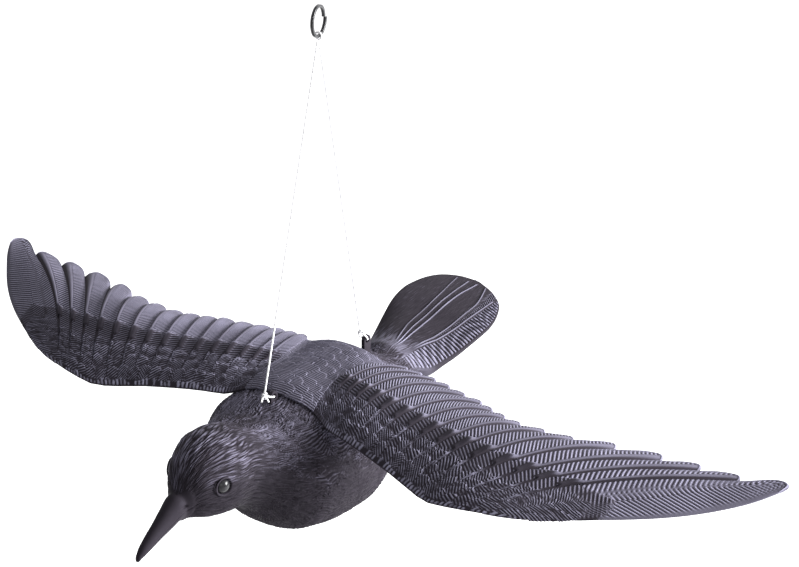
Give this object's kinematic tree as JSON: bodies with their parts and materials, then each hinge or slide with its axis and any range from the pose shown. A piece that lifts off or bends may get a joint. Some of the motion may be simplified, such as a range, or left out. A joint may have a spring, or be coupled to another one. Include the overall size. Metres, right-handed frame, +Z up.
{
  "type": "hanging bird scarer",
  "caption": "Moulded black crow with spread feathered wings that hangs level from a string bridle and a split ring, to scare birds off crops.",
  "frame": {"origin": "the point inside the top of the split ring that rests on a hook", "axes": "+Z up, the beak points along -Y and the bird's left wing along +X"},
  "size_m": [0.6, 0.3617, 0.3331],
  "materials": {
    "black_plastic": "satin black moulding with a faint violet sheen",
    "eye_gloss": "glossy black bead",
    "ring_coating": "black coated spring wire",
    "white_string": "white twisted nylon string"
  },
  "bodies": {
    "ring": {"hang_ring": "ring_coating"},
    "ring_turn": {"ring_knot": "white_string"},
    "bridle": {"front_strand": "white_string", "rear_strand": "white_string"},
    "bird": {"body_shell": "black_plastic", "wing_pair": "black_plastic", "left_eye": "eye_gloss", "right_eye": "eye_gloss", "front_knot": "white_string", "rear_knot": "white_string"}
  },
  "joints": [
    {"name": "bridle_swing", "type": "hinge", "parent": "ring", "child": "ring_turn", "pos_m": [0, 0, -0.01705], "axis": [-0.225, 0.9744, 0], "range_deg": [-50, 50]},
    {"name": "bird_turn", "type": "hinge", "parent": "ring_turn", "child": "bridle", "pos_m": [0, 0, -0.02], "axis": [0, 0, 1], "continuous": true},
    {"name": "bird_roll", "type": "hinge", "parent": "bridle", "child": "bird", "pos_m": [0, -0.06014, -0.22883], "axis": [0, 0.9999, 0.0159], "range_deg": [-30, 30]}
  ]
}
